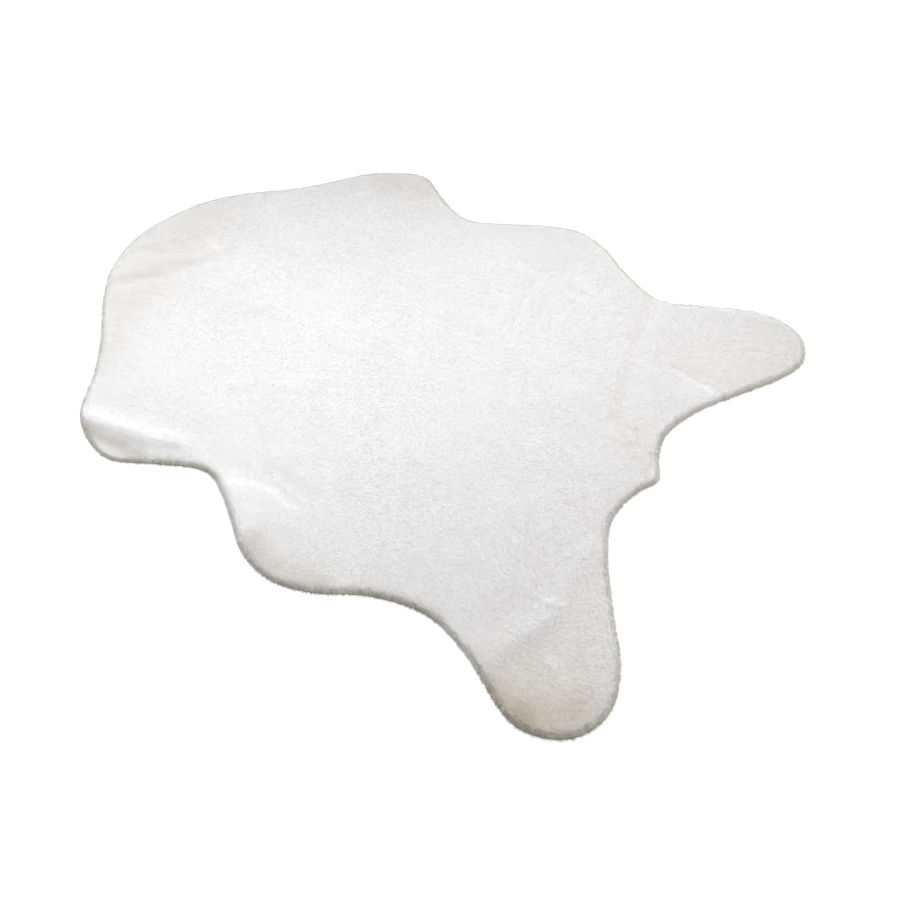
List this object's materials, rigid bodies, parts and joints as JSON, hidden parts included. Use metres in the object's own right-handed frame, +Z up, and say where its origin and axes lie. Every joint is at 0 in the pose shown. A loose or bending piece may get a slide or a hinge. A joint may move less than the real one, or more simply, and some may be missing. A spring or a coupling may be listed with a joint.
{
  "type": "faux fur rug",
  "caption": "Hide-shaped white faux fur rug lying flat, with short plush pile that rounds over its edge and soft folds left from packing.",
  "frame": {"origin": "on the floor, at the middle of the rug's length and width", "axes": "+Z up from the floor, +Y along the back line from the tail to the neck, +X to the right of it"},
  "size_m": [1.168, 1.524, 0.0227],
  "materials": {
    "white_plush": "short white plush pile, matt with a soft sheen"
  },
  "bodies": {
    "root": {"fur_rug": "white_plush"}
  },
  "joints": []
}
